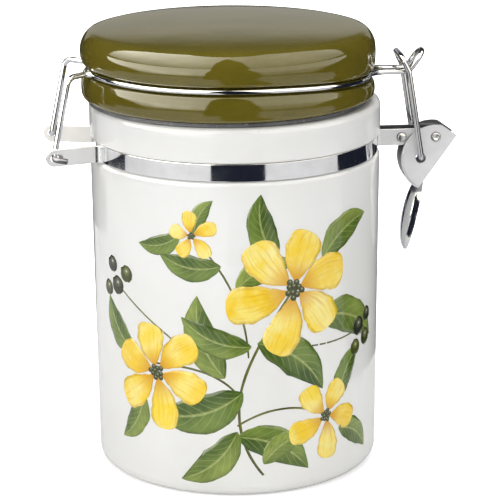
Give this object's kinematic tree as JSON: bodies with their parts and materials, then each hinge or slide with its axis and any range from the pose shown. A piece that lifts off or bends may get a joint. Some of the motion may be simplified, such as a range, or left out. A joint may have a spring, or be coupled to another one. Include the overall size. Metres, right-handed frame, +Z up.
{
  "type": "dry goods canister",
  "caption": "Round glazed ceramic canister with a domed tiered lid on a wire hinge, a rubber gasket and an over-centre lever latch clamped round the neck by steel straps.",
  "frame": {"origin": "middle of the jar's flat base, on the jar's axis", "axes": "+Z up along the jar's axis, +X towards the latch, -X towards the lid's hinge, -Y the front"},
  "size_m": [0.1428, 0.1014, 0.1543],
  "materials": {
    "white_glaze": "gloss",
    "olive_glaze": "gloss",
    "steel": "polished",
    "gasket_rubber": "satin"
  },
  "bodies": {
    "jar": {"jar": "white_glaze", "strap_front": "steel", "strap_back": "steel", "tie_rivet": "steel", "tie_spacer": "steel", "lever_rivet": "steel"},
    "lid": {"lid": "olive_glaze", "lid_gasket": "gasket_rubber", "lid_wire": "steel"},
    "lever": {"lever": "steel"},
    "closing_wire": {"closing_wire": "steel"}
  },
  "joints": [
    {"name": "lid_hinge", "type": "hinge", "parent": "jar", "child": "lid", "pos_m": [-0.0628, 0, 0.1134], "axis": [0, -1, 0], "range_deg": [0, 210]},
    {"name": "lever_pivot", "type": "hinge", "parent": "jar", "child": "lever", "pos_m": [0.0697, 0, 0.1134], "axis": [0, -1, 0], "range_deg": [0, 150]},
    {"name": "closing_wire_pivot", "type": "hinge", "parent": "lever", "child": "closing_wire", "pos_m": [0.0644, 0, 0.1064], "axis": [0, -1, 0], "range_deg": [-120, 0]}
  ],
  "couplings": [
    {"joint": "closing_wire_pivot", "follows": "lever_pivot", "ratio": -0.8}
  ]
}
